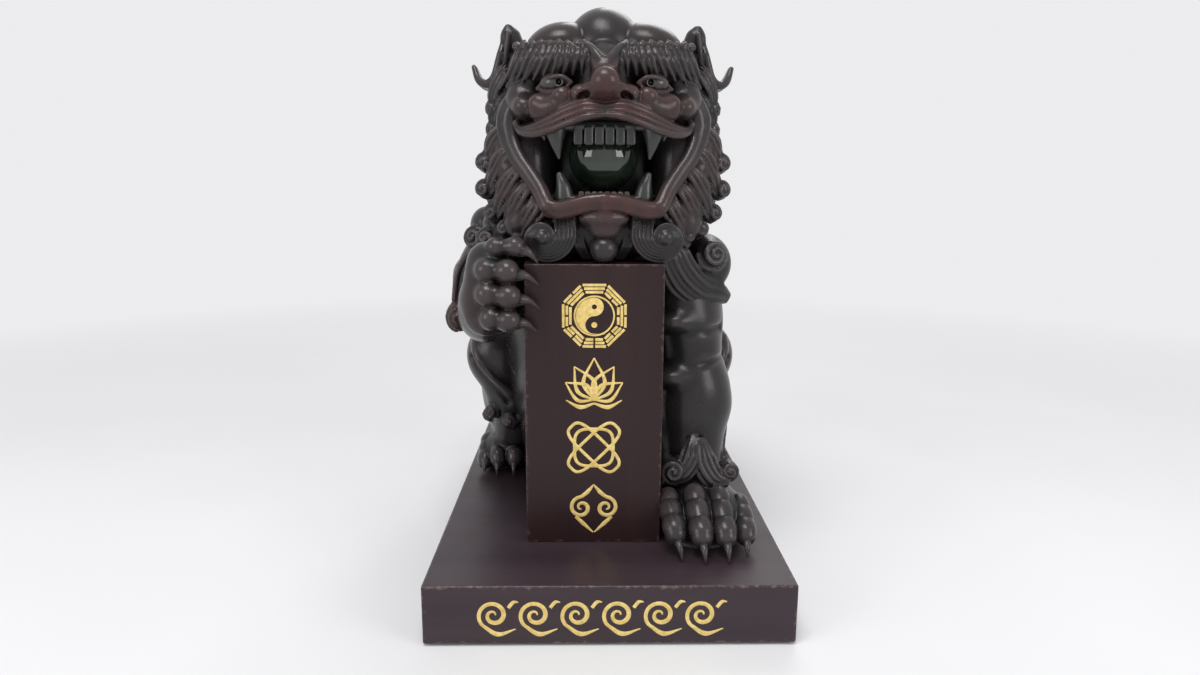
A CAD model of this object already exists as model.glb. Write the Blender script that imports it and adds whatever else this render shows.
"""Looks of a seated guardian lion with a stele, on a lacquered plinth, with a ball in its mouth."""
import math

import bpy
import numpy as np
import openvdb
from mathutils import Euler, Matrix, Vector


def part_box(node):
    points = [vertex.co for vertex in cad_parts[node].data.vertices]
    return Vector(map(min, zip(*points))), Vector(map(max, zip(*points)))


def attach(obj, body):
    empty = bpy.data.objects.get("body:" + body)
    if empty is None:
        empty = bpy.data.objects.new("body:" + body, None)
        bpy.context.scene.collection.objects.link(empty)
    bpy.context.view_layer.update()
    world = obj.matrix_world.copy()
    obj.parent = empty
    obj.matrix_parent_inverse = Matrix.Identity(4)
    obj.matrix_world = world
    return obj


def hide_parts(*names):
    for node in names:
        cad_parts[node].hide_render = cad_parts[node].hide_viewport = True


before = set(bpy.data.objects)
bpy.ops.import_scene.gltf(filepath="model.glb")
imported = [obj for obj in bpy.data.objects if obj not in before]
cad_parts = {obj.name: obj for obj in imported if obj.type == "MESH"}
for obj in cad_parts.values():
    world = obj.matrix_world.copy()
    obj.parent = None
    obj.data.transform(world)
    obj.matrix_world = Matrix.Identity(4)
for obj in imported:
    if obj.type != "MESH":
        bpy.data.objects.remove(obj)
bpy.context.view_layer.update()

# Sculpting works in millimetres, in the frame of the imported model
MM = 0.001
MIDDLE = -2.5
PLINTH_TOP = 26.0
CLAW_TIP = 26.9
STELE_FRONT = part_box("stele")[0].y / MM
STELE_MIDDLE = (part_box("stele")[0].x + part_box("stele")[1].x) / 2 / MM
GOLD_HEIGHT = 0.14
PLINTH_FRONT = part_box("plinth")[0].y / MM + GOLD_HEIGHT

# The skull and the ball in the mouth, given from the middle line
SKULL = (0, -18, 218)
SKULL_RADII = (41, 44, 29)
BALL_CENTRE = (0, -54.7, 193.7)

# Grid cells further than this from any surface only count as outside
FAR = 8.0
# Loose parts with fewer points than this share of a piece are dropped
CRUMB = 0.02
COARSE = 1.0
COIL_STEPS = 16


def unit(vector):
    vector = np.asarray(vector, float)
    return vector / np.linalg.norm(vector)


def smooth_min(a, b, k):
    """The lesser of two distances, with the corner between them filled over a width k."""
    if k <= 0:
        return np.minimum(a, b)
    overlap = np.maximum(k - np.abs(a - b), 0) / k
    return np.minimum(a, b) - overlap * overlap * (k / 4)


def curve(points, steps=6):
    """A smooth line through points, with steps stretches between each two."""
    points = np.asarray(points, float)
    ends = np.vstack([2 * points[0] - points[1], points, 2 * points[-1] - points[-2]])
    line = []
    for a, b, c, d in zip(ends, ends[1:], ends[2:], ends[3:]):
        for t in np.arange(steps) / steps:
            line.append(
                b + 0.5 * t * (c - a + t * (2 * a - 5 * b + 4 * c - d + t * (3 * (b - c) + d - a)))
            )
    return np.array(line + [points[-1]])


def taper(line, shares, values):
    """A value for each point of a line, from values at some shares of its length."""
    return np.interp(np.linspace(0, 1, len(line)), shares, values)


def coil(centre, axis, start, radius, turns, inner, lift=0.0, hand=1):
    """A spiral that winds from radius, on the side that start points to, in to its middle."""
    axis = unit(axis)
    start = np.asarray(start, float)
    first = unit(start - axis * (start @ axis))
    second = hand * np.cross(axis, first)
    share = np.linspace(0, 1, int(turns * COIL_STEPS) + 1)[:, None]
    angle = 2 * math.pi * turns * share
    reach = radius * (1 - (1 - inner) * share)
    return centre + reach * (np.cos(angle) * first + np.sin(angle) * second) + axis * lift * radius * share


class Clay:
    """A block of clay: a grid of distances to its surface, which are negative inside."""

    def __init__(self, low, high, voxel, middle=0.0):
        self.voxel = voxel * COARSE
        self.low = np.array(low, float)
        self.middle = middle
        cells = np.ceil((np.array(high) - self.low) / self.voxel).astype(int) + 1
        self.field = np.full(cells, FAR, np.float32)

    def window(self, low, high):
        """The cells in a box, as slices, and their coordinates."""
        first = np.floor((np.asarray(low) - self.low) / self.voxel).astype(int)
        last = np.ceil((np.asarray(high) - self.low) / self.voxel).astype(int) + 1
        first = np.clip(first, 0, self.field.shape)
        last = np.clip(last, first, self.field.shape)
        axes = [
            (self.low[i] + self.voxel * np.arange(first[i], last[i])).astype(np.float32)
            for i in range(3)
        ]
        cells = tuple(slice(a, b) for a, b in zip(first, last))
        return cells, np.meshgrid(*axes, indexing="ij", sparse=True)

    def merge(self, cells, distance, blend, cut):
        block = self.field[cells]
        if cut:
            self.field[cells] = -smooth_min(-block, distance, blend)
        else:
            self.field[cells] = smooth_min(block, distance, blend)

    def mirrored(self, points, side):
        """Points given from the middle line, on one side of it."""
        points = np.array(points, float)
        points[..., 0] = self.middle + side * points[..., 0]
        return points

    def blob(self, centre, radii, turn=(0, 0, 0), blend=1.0, cut=False, mirror=False):
        """An ellipsoid, turned by angles in degrees."""
        for side in (1, -1)[: 1 + mirror]:
            middle = self.mirrored(centre, side)
            reach = max(radii) + blend + 2 * self.voxel
            cells, grid = self.window(middle - reach, middle + reach)
            angles = [math.radians(a) for a in (turn[0], side * turn[1], side * turn[2])]
            spin = np.array(Euler(angles).to_matrix())
            offset = [g - m for g, m in zip(grid, middle.astype(np.float32))]
            if any(turn):
                offset = [sum(spin[k][j] * offset[k] for k in range(3)) for j in range(3)]
            near = np.sqrt(sum((o / r) ** 2 for o, r in zip(offset, radii)))
            slope = np.sqrt(sum((o / r**2) ** 2 for o, r in zip(offset, radii))) + 1e-6
            self.merge(cells, near * (near - 1) / slope, blend, cut)

    def rope(self, points, radii, blend=0.5, cut=False, mirror=False):
        """A round bead along points, with its radii spread evenly over them."""
        radii = np.atleast_1d(np.asarray(radii, float))
        radii = taper(points, np.linspace(0, 1, len(radii)), radii)
        for side in (1, -1)[: 1 + mirror]:
            path = self.mirrored(points, side)
            reach = radii.max() + blend + 2 * self.voxel
            cells, _ = self.window(path.min(0) - reach, path.max(0) + reach)
            distance = np.full(self.field[cells].shape, FAR, np.float32)
            corner = np.array([c.start for c in cells])
            for a, b, ra, rb in zip(path, path[1:], radii, radii[1:]):
                pad = max(ra, rb) + blend + 2 * self.voxel
                part, (x, y, z) = self.window(np.minimum(a, b) - pad, np.maximum(a, b) + pad)
                inner = tuple(slice(p.start - c, p.stop - c) for p, c in zip(part, corner))
                ab = b - a
                share = ((x - a[0]) * ab[0] + (y - a[1]) * ab[1] + (z - a[2]) * ab[2]) / max(ab @ ab, 1e-9)
                share = np.clip(share, 0, 1)
                gap = (x - a[0] - share * ab[0]) ** 2
                gap = gap + (y - a[1] - share * ab[1]) ** 2
                gap = gap + (z - a[2] - share * ab[2]) ** 2
                gap = np.sqrt(gap) - (ra + share * (rb - ra))
                distance[inner] = np.minimum(distance[inner], gap)
            self.merge(cells, distance, blend, cut)

    def column(self, sections, blend=2.0):
        """A limb through level ellipses, each given as height, x, y, width and depth."""
        sections = curve(sections, 8)
        rows = sections[np.argsort(sections[:, 0])]
        height = rows[:, 0]
        low = [(rows[:, 1] - rows[:, 3]).min(), (rows[:, 2] - rows[:, 4]).min(), height[0] - blend]
        high = [(rows[:, 1] + rows[:, 3]).max(), (rows[:, 2] + rows[:, 4]).max(), height[-1] + blend]
        low[0] += self.middle
        high[0] += self.middle
        cells, (x, y, z) = self.window(low, high)
        mid_x, mid_y, wide, deep = [
            np.interp(z, height, rows[:, k]).astype(np.float32) for k in (1, 2, 3, 4)
        ]
        wide = wide / 2
        deep = deep / 2
        u = x - self.middle - mid_x
        v = y - mid_y
        near = np.sqrt((u / wide) ** 2 + (v / deep) ** 2)
        slope = np.sqrt((u / wide**2) ** 2 + (v / deep**2) ** 2) + 1e-6
        distance = near * (near - 1) / slope
        distance = np.maximum(distance, np.maximum(height[0] - z, z - height[-1]))
        self.merge(cells, distance, blend, False)

    def planes(self, faces, low, high, blend=1.0, cut=False):
        """What lies behind every one of some planes, alike on both sides of the middle line."""
        low = np.array(low, float) + (self.middle, 0, 0)
        high = np.array(high, float) + (self.middle, 0, 0)
        cells, (x, y, z) = self.window(low, high)
        x = np.abs(x - self.middle)
        distance = np.full(self.field[cells].shape, -FAR, np.float32)
        for point, normal in faces:
            nx, ny, nz = unit(normal)
            ahead = (x - point[0]) * nx + (y - point[1]) * ny + (z - point[2]) * nz
            distance = -smooth_min(-distance, -ahead, 1.0)
        self.merge(cells, distance, blend, cut)

    def lock(
        self, points, normal, widths, strands, blend, mirror=False, crown=0.5, ends=(0.5, 0.8), wave=0.0
    ):
        """A lock of hair: strands side by side along a line, crowned about the normal, that draw together."""
        path = curve(points)
        along = np.gradient(path, axis=0)
        normals = np.broadcast_to(unit(normal), path.shape)
        across = np.cross(along, normals)
        across /= np.linalg.norm(across, axis=1)[:, None]
        share = np.linspace(0, 1, len(path))
        width = np.interp(share, np.linspace(0, 1, len(widths)), widths)[:, None]
        thin = np.interp(share, (0, 0.2, 0.8, 1), (ends[0], 1, 1, ends[1]))
        thick = 0.62 * max(widths) / strands * thin
        for k, place in enumerate(np.linspace(-0.5, 0.5, strands)):
            sway = wave * np.sin(2 * math.pi * (1.1 * share + 0.17 * k))[:, None]
            strand = path + across * (width * place + sway) - normals * crown * width * place**2
            self.rope(strand, thick * (1.12 if k % 2 else 0.92), blend, mirror=mirror)

    def slab(self, centre, half, corner, blend):
        """A box with rounded corners, given by its half sizes."""
        middle = self.mirrored(centre, 1)
        reach = np.array(half) + blend + 2 * self.voxel
        cells, grid = self.window(middle - reach, middle + reach)
        over = [np.maximum(np.abs(g - m) - (h - corner), 0) for g, m, h in zip(grid, middle, half)]
        self.merge(cells, np.sqrt(sum(o * o for o in over)) - corner, blend, False)

    def snail(self, centre, axis, radius, start=(0, 0, 1), hand=1, turns=1.7, mirror=False):
        """A snail-shell curl: a spiral bead on a rounded button."""
        centre = np.asarray(centre, float)
        axis = unit(axis)
        button = radius * 0.84
        sunk = radius * 0.42
        outer = radius * 0.76
        inner = 0.1
        base = [centre - axis * radius * 0.9, centre - axis * sunk]
        self.rope(base, [radius * 0.8, button], radius * 0.1, mirror=mirror)
        path = coil(centre, axis, start, outer, turns, inner, hand=hand)
        reach = np.linalg.norm(path - centre, axis=1)
        path = path + axis * (np.sqrt(button**2 - reach**2) - sunk)[:, None]
        pitch = outer * (1 - inner) / turns
        self.rope(path, pitch * np.linspace(0.44, 0.4, len(path)), 0.1, mirror=mirror)

    def floor_cut(self, height):
        """Takes off what is below a height."""
        z = (self.low[2] + self.voxel * np.arange(self.field.shape[2])).astype(np.float32)
        self.field = np.maximum(self.field, height - z)

    def piece(self, name, rubs=()):
        """The clay as a mesh object, with how far each point stands out and how rubbed it is.

        A rub is a place given from the middle line, a radius and a strength. It counts on both sides.
        """
        band = 3.0
        grid = openvdb.FloatGrid(band)
        grid.copyFromArray(np.clip(self.field / self.voxel, -band, band).astype(np.float32))
        points, quads = grid.convertToQuads(isovalue=0.0)
        points = self.low + np.asarray(points, float) * self.voxel
        points, quads = largest_parts(points, np.asarray(quads, int))
        ridge = stand_out(points, quads)
        rub = np.zeros(len(points))
        for *place, radius, strength in rubs:
            for side in (1, -1):
                gap = np.linalg.norm(points - self.mirrored(place, side), axis=1) / radius
                rub = np.maximum(rub, strength * np.exp(-gap * gap))
        obj = mesh_object(name, points, quads)
        for label, values in (("ridge", ridge), ("rub", rub)):
            layer = obj.data.attributes.new(label, "FLOAT", "POINT")
            layer.data.foreach_set("value", values.astype(np.float32))
        return obj


def quad_edges(quads):
    return np.concatenate([quads[:, (i, (i + 1) % 4)] for i in range(4)])


def largest_parts(points, quads):
    """The mesh without its loose crumbs."""
    edges = quad_edges(quads)
    label = np.arange(len(points))
    while True:
        least = label.copy()
        lower = np.minimum(label[edges[:, 0]], label[edges[:, 1]])
        np.minimum.at(least, edges[:, 0], lower)
        np.minimum.at(least, edges[:, 1], lower)
        least = least[least]
        if np.array_equal(least, label):
            break
        label = least
    counts = np.bincount(label, minlength=len(points))
    kept = counts[label] >= CRUMB * len(points)
    number = np.cumsum(kept) - 1
    return points[kept], number[quads[kept[quads[:, 0]]]]


def stand_out(points, quads, rounds=10):
    """How far each point stands out of its surroundings, in mm."""
    edges = quad_edges(quads)
    count = np.bincount(edges.ravel(), minlength=len(points))
    smooth = points.copy()
    for _ in range(rounds):
        for axis in range(3):
            value = smooth[:, axis]
            total = np.bincount(edges[:, 0], value[edges[:, 1]], len(points))
            total += np.bincount(edges[:, 1], value[edges[:, 0]], len(points))
            smooth[:, axis] = total / np.maximum(count, 1)
    corners = points[quads]
    facing = np.cross(corners[:, 2] - corners[:, 0], corners[:, 3] - corners[:, 1])
    normal = np.zeros_like(points)
    for axis in range(3):
        for corner in range(4):
            normal[:, axis] += np.bincount(quads[:, corner], facing[:, axis], len(points))
    normal /= np.maximum(np.linalg.norm(normal, axis=1), 1e-9)[:, None]
    return ((points - smooth) * normal).sum(1)


def mesh_object(name, points, faces, smooth=True):
    """An object from points in mm."""
    mesh = bpy.data.meshes.new(name)
    mesh.from_pydata(np.asarray(points, float) * MM, [], np.asarray(faces).tolist())
    mesh.validate()
    mesh.shade_smooth() if smooth else mesh.shade_flat()
    obj = bpy.data.objects.new(name, mesh)
    bpy.context.scene.collection.objects.link(obj)
    return obj


def dress(obj, material, nodes=(), body="statue"):
    """Gives a piece its material, its body and the nodes it stands for."""
    obj.data.materials.clear()
    obj.data.materials.append(material)
    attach(obj, body)
    if nodes:
        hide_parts(*nodes)


# Materials
class Paint:
    """A material under construction."""

    def __init__(self, name):
        self.material = bpy.data.materials.new(name)
        self.material.use_nodes = True
        self.nodes = self.material.node_tree.nodes
        self.links = self.material.node_tree.links
        self.shader = self.nodes["Principled BSDF"]
        self.place = self.nodes.new("ShaderNodeTexCoord").outputs["Object"]

    def set(self, **values):
        for name, value in values.items():
            self.shader.inputs[name.replace("_", " ")].default_value = value

    def feed(self, name, output):
        self.links.new(output, self.shader.inputs[name])

    def noise(self, scale, detail=4.0, rough=0.55, stretch=(1, 1, 1)):
        mapping = self.nodes.new("ShaderNodeMapping")
        mapping.inputs["Scale"].default_value = stretch
        self.links.new(self.place, mapping.inputs["Vector"])
        node = self.nodes.new("ShaderNodeTexNoise")
        node.inputs["Scale"].default_value = scale
        node.inputs["Detail"].default_value = detail
        node.inputs["Roughness"].default_value = rough
        self.links.new(mapping.outputs["Vector"], node.inputs["Vector"])
        return node.outputs["Fac"]

    def attribute(self, name):
        node = self.nodes.new("ShaderNodeAttribute")
        node.attribute_name = name
        return node.outputs["Fac"]

    def math(self, operation, *values):
        node = self.nodes.new("ShaderNodeMath")
        node.operation = operation
        for socket, value in zip(node.inputs, values):
            if isinstance(value, (int, float)):
                socket.default_value = value
            else:
                self.links.new(value, socket)
        return node.outputs["Value"]

    def span(self, value, low, high, to_low=0.0, to_high=1.0):
        node = self.nodes.new("ShaderNodeMapRange")
        for name, number in (("From Min", low), ("From Max", high), ("To Min", to_low), ("To Max", to_high)):
            node.inputs[name].default_value = number
        self.links.new(value, node.inputs["Value"])
        return node.outputs["Result"]

    def ramp(self, value, *stops):
        node = self.nodes.new("ShaderNodeValToRGB")
        elements = node.color_ramp.elements
        while len(elements) < len(stops):
            elements.new(0.5)
        for element, (place, colour) in zip(elements, stops):
            element.position = place
            element.color = (*colour, 1)
        self.links.new(value, node.inputs["Fac"])
        return node.outputs["Color"]

    def mix(self, share, colour, tint):
        """A colour with a share of a plain tint in it."""
        node = self.nodes.new("ShaderNodeMix")
        node.data_type = "RGBA"
        first, second = [s for s in node.inputs if s.type == "RGBA"]
        self.links.new(colour, first)
        second.default_value = (*tint, 1)
        factor = next(s for s in node.inputs if s.name == "Factor" and s.type == "VALUE")
        self.links.new(share, factor)
        return next(s for s in node.outputs if s.type == "RGBA")

    def bump(self, height, strength, distance):
        node = self.nodes.new("ShaderNodeBump")
        node.inputs["Strength"].default_value = strength
        node.inputs["Distance"].default_value = distance
        self.links.new(height, node.inputs["Height"])
        self.feed("Normal", node.outputs["Normal"])

    def edge_gap(self, low, high):
        """The distance along a box's faces to its nearest edge, in metres."""
        split = self.nodes.new("ShaderNodeSeparateXYZ")
        self.links.new(self.place, split.inputs["Vector"])
        gaps = []
        for output, a, b in zip(split.outputs, low, high):
            from_middle = self.math("ABSOLUTE", self.math("SUBTRACT", output, (a + b) / 2))
            gaps.append(self.math("SUBTRACT", (b - a) / 2, from_middle))
        total = self.math("ADD", self.math("ADD", gaps[0], gaps[1]), gaps[2])
        least = self.math("MINIMUM", self.math("MINIMUM", gaps[0], gaps[1]), gaps[2])
        most = self.math("MAXIMUM", self.math("MAXIMUM", gaps[0], gaps[1]), gaps[2])
        return self.math("SUBTRACT", self.math("SUBTRACT", total, least), most)


def casting_paint():
    """Glossy dark resin: black in the hollows, brown on the high points, reddish where it is rubbed."""
    paint = Paint("casting")
    cloud = paint.noise(55, 3)
    grain = paint.noise(900, 3)
    ridge = paint.span(paint.attribute("ridge"), -0.28, 0.28)
    hollow, plain, high = (0.003, 0.0034, 0.0036), (0.0165, 0.0138, 0.0152), (0.052, 0.04, 0.0415)
    colour = paint.ramp(ridge, (0.0, hollow), (0.5, plain), (1.0, high))
    green = paint.math("MULTIPLY", paint.span(cloud, 0.45, 0.7), 0.45)
    colour = paint.mix(green, colour, (0.011, 0.0155, 0.0148))
    patches = paint.span(paint.noise(160, 4), 0.3, 0.65, 0.45, 1.0)
    rub = paint.math("MULTIPLY", paint.attribute("rub"), patches)
    colour = paint.mix(rub, colour, (0.07, 0.029, 0.026))
    paint.feed("Base Color", colour)
    worn = paint.span(ridge, 0, 1, 0.36, 0.2)
    paint.feed("Roughness", paint.math("ADD", worn, paint.span(cloud, 0.3, 0.7, -0.04, 0.06)))
    paint.set(Specular_IOR_Level=0.3)
    paint.bump(grain, 0.12, 0.0004)
    return paint.material


def lacquer_paint(node, chips, stretch, dark, light):
    """Satin red-brown lacquer with a fine grain, and edges that are worn off by a share."""
    paint = Paint(f"{node}_lacquer")
    grain = paint.noise(60, 6, 0.6, stretch)
    colour = paint.ramp(grain, (0.3, dark), (0.7, light))
    edge = paint.edge_gap(*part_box(node))
    chip = paint.math("ADD", edge, paint.span(paint.noise(350, 5, 0.7), 0.3, 0.7, -0.0012, 0.0022))
    worn = paint.math("MULTIPLY", paint.span(chip, 0.0002, 0.0011, 1, 0), chips)
    paint.feed("Base Color", paint.mix(worn, colour, (0.16, 0.105, 0.085)))
    dust = paint.noise(25, 5)
    paint.feed("Roughness", paint.span(dust, 0.3, 0.7, 0.3, 0.42))
    paint.set(Specular_IOR_Level=0.3)
    paint.bump(paint.noise(420, 4), 0.06, 0.0005)
    return paint.material


def gold_paint():
    paint = Paint("gold")
    tone = paint.noise(500, 4)
    paint.feed("Base Color", paint.ramp(tone, (0.3, (0.62, 0.43, 0.11)), (0.65, (0.86, 0.66, 0.25))))
    paint.set(Metallic=0.2)
    paint.feed("Roughness", paint.span(tone, 0.3, 0.7, 0.36, 0.5))
    paint.bump(paint.noise(1400, 3), 0.2, 0.0002)
    return paint.material


def tooth_paint():
    paint = Paint("tooth")
    ridge = paint.span(paint.attribute("ridge"), -0.25, 0.25)
    hollow, plain, high = (0.006, 0.0078, 0.0066), (0.027, 0.030, 0.027), (0.04, 0.04, 0.036)
    colour = paint.ramp(ridge, (0.0, hollow), (0.6, plain), (1.0, high))
    stain = paint.math("MULTIPLY", paint.span(paint.noise(220, 4), 0.4, 0.7), 0.5)
    paint.feed("Base Color", paint.mix(stain, colour, (0.016, 0.02, 0.016)))
    paint.set(Roughness=0.26)
    return paint.material


def eye_paint():
    paint = Paint("eye")
    ridge = paint.span(paint.attribute("ridge"), -0.15, 0.15)
    paint.feed("Base Color", paint.ramp(ridge, (0.2, (0.004, 0.004, 0.004)), (0.8, (0.045, 0.036, 0.034))))
    paint.feed("Roughness", paint.span(paint.noise(400, 3), 0.3, 0.7, 0.16, 0.26))
    return paint.material


def grained_paint(name, noise, dark, light, bump=(), **values):
    """Two tones in one grain, which may also stand out from the surface."""
    paint = Paint(name)
    grain = paint.noise(*noise)
    paint.feed("Base Color", paint.ramp(grain, (0.3, dark), (0.7, light)))
    paint.set(**values)
    if bump:
        paint.bump(grain, *bump)
    return paint.material


def steel_paint():
    paint = Paint("plated_steel")
    streak = paint.noise(700, 4, 0.5, (1, 1, 0.1))
    paint.feed("Base Color", paint.ramp(streak, (0.3, (0.42, 0.42, 0.41)), (0.7, (0.6, 0.6, 0.58))))
    paint.set(Metallic=1.0)
    paint.feed("Roughness", paint.span(streak, 0.3, 0.7, 0.25, 0.4))
    return paint.material


# The head, seen from the middle line out
def brow_front(x):
    """How far forward the brow reaches."""
    return np.interp(x, (6, 13, 20, 27, 33, 38, 46), (-71.4, -71.6, -70.2, -66.8, -62.2, -57.2, -49))


def head_piece():
    clay = Clay((-56, -90, 198), (51, 30, 257), 0.48, MIDDLE)
    clay.blob(SKULL, SKULL_RADII, blend=3)
    clay.blob((32, -40, 220), (10, 20, 17), blend=5, mirror=True)
    clay.blob((0, -58, 226), (13, 16, 15), blend=5)
    clay.blob((0, -60, 213), (34, 18, 9), blend=5)
    # The brow's two pillows, the dome behind them and the ridge that carries the eyebrows
    clay.blob((18.6, -50, 238.4), (15.2, 15, 10.4), (0, 12, 22), blend=2.0, mirror=True)
    clay.blob((0, -47, 239.2), (16.2, 17.5, 16.5), blend=1.4)
    clay.blob((20, -60, 230.8), (19.5, 9.5, 7.4), (0, 2, 24), blend=2.5, mirror=True)
    clay.blob((35, -42, 230), (6.5, 12, 10), blend=4, mirror=True)
    clay.blob((41, -31, 231), (5.5, 8, 12), blend=3, mirror=True)
    # The fold where the pillows meet above the nose
    clay.rope(curve([(8.5, -66, 238), (5, -71, 235), (1.2, -75, 230)]), 2.0, 1.2, mirror=True)
    clay.rope(curve([(4.8, -72, 231.6), (3.4, -75.4, 228), (2.8, -77.5, 225)]), 1.7, 1.2, mirror=True)
    # Nose: a ball on a bell with flared wings
    clay.rope([(0, -66, 231), (0, -78, 223)], [5.4, 4.6], 2.5)
    clay.blob((0, -74.5, 217.6), (12.4, 6.4, 4.6), blend=2.0)
    clay.blob((0, -77.5, 219.6), (9.0, 5.5, 4.4), blend=2.5)
    clay.blob((0, -80.6, 221.8), (6.0, 5.6, 5.8), blend=1.6)
    clay.blob((10.4, -75.6, 217.6), (3.6, 4.2, 3.6), blend=1.6, mirror=True)
    clay.blob((8.8, -80.4, 216.2), (3.1, 4.6, 1.9), (0, 28, 0), blend=0.5, cut=True, mirror=True)
    # Knobbed cheeks that swell out to the corners of the mouth
    clay.blob((22.5, -68.5, 212.6), (9, 5.4, 5.2), (0, 14, 24), blend=2, mirror=True)
    clay.blob((17.2, -72, 217), (4.5, 4.6, 4.3), blend=0.9, mirror=True)
    clay.blob((26.6, -67.4, 214.2), (4.8, 4.8, 4.5), blend=1.2, mirror=True)
    clay.blob((34.2, -59.5, 213.6), (4.6, 7, 5.0), blend=3, mirror=True)
    clay.blob((36.3, -52, 216), (6, 9, 9), blend=3, mirror=True)
    # Small deep-set eyes
    clay.blob((20.2, -70, 222.2), (6.6, 6.5, 3.1), (0, 8, 20), blend=1.0, cut=True, mirror=True)
    upper_lid = curve([
        (13.6, -72, 222.4), (16.6, -72.6, 224.3), (20.4, -71.6, 224.6), (24.4, -68.6, 222.9),
        (27.4, -65, 220.6),
    ])
    lower_lid = curve([
        (13.6, -72, 222), (16.8, -71.8, 219.8), (20.8, -70.4, 219.2), (24.6, -67.8, 219.4),
        (27.4, -65, 220.4),
    ])
    clay.rope(upper_lid, 0.9, 0.7, mirror=True)
    clay.rope(lower_lid, 0.8, 0.7, mirror=True)
    # Eyebrow hair that sweeps out and down over the eyes, under a frill of small curls
    for k in range(25):
        t = k / 24
        layer = k % 2
        x = 6.4 + 29.0 * t
        sweep = 0.6 + 8.0 * t + 0.9 * math.sin(2.4 * k)
        top = 236.6 + 1.6 * t + 0.6 * layer
        low = 225.4 - 3.2 * t**3 + 2.0 * layer + 0.5 * math.sin(1.7 * k)
        bend = x + 0.3 * sweep
        strand = curve([
            (x, brow_front(x) + 3.0, top), (bend, brow_front(bend) - 0.5, 0.5 * (top + low)),
            (x + sweep, brow_front(x + sweep) + 1.8, low),
        ], 5)
        clay.rope(strand, taper(strand, (0, 0.4, 1), (1.0, 1.25, 0.6)), 0.5, mirror=True)
    for k in range(9):
        t = k / 8
        x = 7.6 + 29.0 * t
        centre = (x, brow_front(x) + 2.2, 236.8 + 1.8 * t)
        clay.snail(centre, (0.45 * t, -1, 0.35), 2.3 + 0.3 * (k % 2), (0, 0, 1), -1, 1.3, mirror=True)
    # The hollow under the upper lip, and the moustache over it
    palate = [((0, 0, 205.6), (0, 0, 1)), ((0, -20, 0), (0, 1, 0))]
    clay.planes(palate, (-36, -93, 195), (36, -19, 206.6), 0.6, True)
    clay.blob((0, -79, 203.6), (23, 8.5, 5.2), blend=1.5, cut=True)
    line = [
        (0.7, -80.2, 211.6), (7, -80.6, 211.8), (14, -78.8, 210.2), (21, -75, 207.4),
        (28, -69.6, 204.8), (33.5, -63.8, 204.2), (36.6, -60, 205.8),
    ]
    clay.lock(line, (0.2, -0.85, 0.5), (5.2, 7.4, 8.2, 7.6, 5.8, 3.0, 1.6), 4, 0.15, True, 0.35, (0.8, 0.6))
    clay.blob((36.9, -59, 207), (1.9, 1.9, 1.9), blend=0.5, mirror=True)
    # Temples with hair combed down and out, towards the ears
    for k in range(7):
        comb = curve([
            (34 + 0.9 * k, -57 + 2.3 * k, 232), (37.6 + 0.75 * k, -56.5 + 2.5 * k, 226),
            (39 + 0.7 * k, -54.5 + 2.5 * k, 220.5), (39.6 + 0.6 * k, -51 + 1.9 * k, 215.5),
        ], 4)
        clay.rope(comb, taper(comb, (0, 0.3, 1), (0.8, 1.5, 0.9)), 0.5, mirror=True)
    rubs = (
        (0, -83, 221, 10, 0.9), (10, -78, 220, 6, 0.7), (17.4, -74, 217, 7, 0.8), (26, -70, 214, 7, 0.75),
        (34, -63, 214, 7, 0.4), (7, -82, 213, 7, 0.85), (15, -80, 211, 7, 0.9), (23, -75, 208, 7, 0.75),
        (29, -69, 205, 6, 0.5), (20, -60, 241, 14, 0.22),
    )
    return clay.piece("lion_head", rubs)


def eyes_piece():
    clay = Clay((-32, -76, 212), (28, -54, 232), 0.3, MIDDLE)
    clay.blob((20.2, -65.2, 222.5), (6.4, 6.4, 4.6), (0, 0, 18), blend=0, mirror=True)
    gaze = np.array((18.6, -71.2, 222.7))
    clay.rope(coil(gaze, (0.25, -1, 0.02), (1, 0, 0), 1.75, 1, 1.0), 0.5, 0.2, mirror=True)
    clay.blob(gaze, (1.15, 1.4, 1.15), blend=0.2, cut=True, mirror=True)
    return clay.piece("lion_eyes")


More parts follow.
